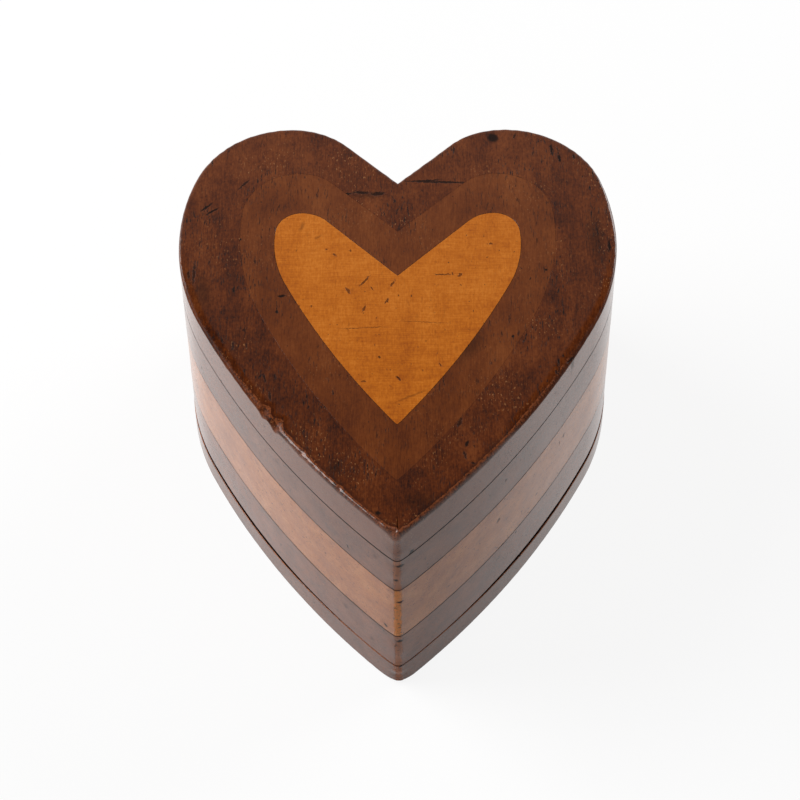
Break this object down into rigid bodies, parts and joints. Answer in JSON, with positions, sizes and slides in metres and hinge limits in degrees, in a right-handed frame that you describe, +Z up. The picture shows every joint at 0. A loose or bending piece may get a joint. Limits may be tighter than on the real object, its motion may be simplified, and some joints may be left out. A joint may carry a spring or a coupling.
{
  "type": "heart-shaped wind-up music box",
  "caption": "Heart-shaped wooden music box with stacked dark and pale walls, an inlaid hinged lid, a trinket tray and a key-wound cylinder and comb movement that stops when the lid shuts.",
  "frame": {"origin": "on the table under the middle of the whole box, hinges included", "axes": "+Z up, +Y from the heart's point towards its lobes and hinges, +X to the right seen from the point"},
  "size_m": [0.15, 0.1774, 0.093],
  "materials": {
    "dark_wood": "gloss varnish",
    "base_wood": "gloss varnish",
    "light_wood": "gloss varnish",
    "band_wood": "gloss varnish",
    "pale_wood": "gloss varnish",
    "panel_wood": "matt",
    "felt": "felt",
    "glass": "clear",
    "brass": "satin",
    "steel": "satin",
    "cast_iron": "satin",
    "lead": "matt"
  },
  "bodies": {
    "case": {"arbor_bush": "brass", "base_board": "base_wood", "base_screws": "steel", "bedplate": "cast_iron", "comb": "steel", "comb_base": "cast_iron", "comb_screws": "steel", "comb_weights": "lead", "fly_cock": "brass", "frame_screws": "steel", "governor_plate_inner": "brass", "governor_plate_outer": "brass", "hinge_leaves_case": "brass", "hinge_pins": "brass", "hinge_screws_case": "brass", "inner_panel": "panel_wood", "left_bearing": "brass", "lever_bracket": "brass", "lever_pin": "steel", "light_ring": "light_wood", "lower_ring": "dark_wood", "movement_screws": "steel", "panel_felt": "felt", "panel_glass": "glass", "panel_pillars": "panel_wood", "plunger_guide": "brass", "upper_ring": "dark_wood"},
    "lid": {"lid_board": "dark_wood", "lid_band_inlay": "band_wood", "lid_heart_inlay": "pale_wood", "lid_lining": "felt", "stop_striker": "brass", "hinge_leaves_lid": "brass", "hinge_screws_lid": "brass"},
    "winder": {"winding_key": "brass", "winding_arbor": "steel"},
    "barrel": {"spring_barrel": "brass", "barrel_cover": "brass", "mainspring": "steel"},
    "cylinder": {"music_cylinder": "brass", "cylinder_pins": "steel", "cylinder_arbor": "steel", "cylinder_pinion": "steel", "cylinder_wheel": "brass"},
    "first": {"first_pinion": "steel", "first_wheel": "brass", "first_arbor": "steel"},
    "second": {"second_pinion": "steel", "second_arbor": "steel", "worm_wheel": "brass"},
    "fly": {"fly_worm": "steel", "brake_disc": "brass", "fly_vanes": "brass"},
    "plunger": {"stop_plunger": "brass"},
    "lever": {"brake_lever": "brass", "brake_pad": "felt"}
  },
  "joints": [
    {"name": "lid_hinge", "type": "hinge", "parent": "case", "child": "lid", "pos_m": [0, 0.08529, 0.0776], "axis": [-1, 0, 0], "range_deg": [0, 95]},
    {"name": "key_wind", "type": "hinge", "parent": "case", "child": "winder", "pos_m": [-0.024, 0.002, 0.008], "axis": [0, 0, 1], "continuous": true},
    {"name": "cylinder_spin", "type": "hinge", "parent": "case", "child": "cylinder", "pos_m": [0, 0.002, 0.0284], "axis": [1, 0, 0], "continuous": true},
    {"name": "barrel_spin", "type": "hinge", "parent": "case", "child": "barrel", "pos_m": [-0.024, 0.002, 0.018], "axis": [0, 0, 1], "continuous": true},
    {"name": "first_wheel_spin", "type": "hinge", "parent": "case", "child": "first", "pos_m": [0.018, 0.01328, 0.0243], "axis": [1, 0, 0], "continuous": true},
    {"name": "worm_wheel_spin", "type": "hinge", "parent": "case", "child": "second", "pos_m": [0.01965, 0.02237, 0.02955], "axis": [1, 0, 0], "continuous": true},
    {"name": "fly_spin", "type": "hinge", "parent": "case", "child": "fly", "pos_m": [0.02125, 0.03017, 0.03], "axis": [0, 0, 1], "continuous": true},
    {"name": "plunger_slide", "type": "slide", "parent": "case", "child": "plunger", "axis": [0, 0, 1], "range_m": [0, 0.0018]},
    {"name": "brake_tilt", "type": "hinge", "parent": "case", "child": "lever", "pos_m": [0.03075, 0.03017, 0.02092], "axis": [0, -1, 0], "range_deg": [0, 10]}
  ],
  "couplings": [
    {"joint": "barrel_spin", "follows": "cylinder_spin", "ratio": 0.4},
    {"joint": "first_wheel_spin", "follows": "cylinder_spin", "ratio": -3},
    {"joint": "worm_wheel_spin", "follows": "cylinder_spin", "ratio": 7.5},
    {"joint": "fly_spin", "follows": "cylinder_spin", "ratio": -60},
    {"joint": "plunger_slide", "follows": "lid_hinge", "m_per_rad": 0.0010856},
    {"joint": "brake_tilt", "follows": "lid_hinge", "ratio": 0.10526}
  ]
}
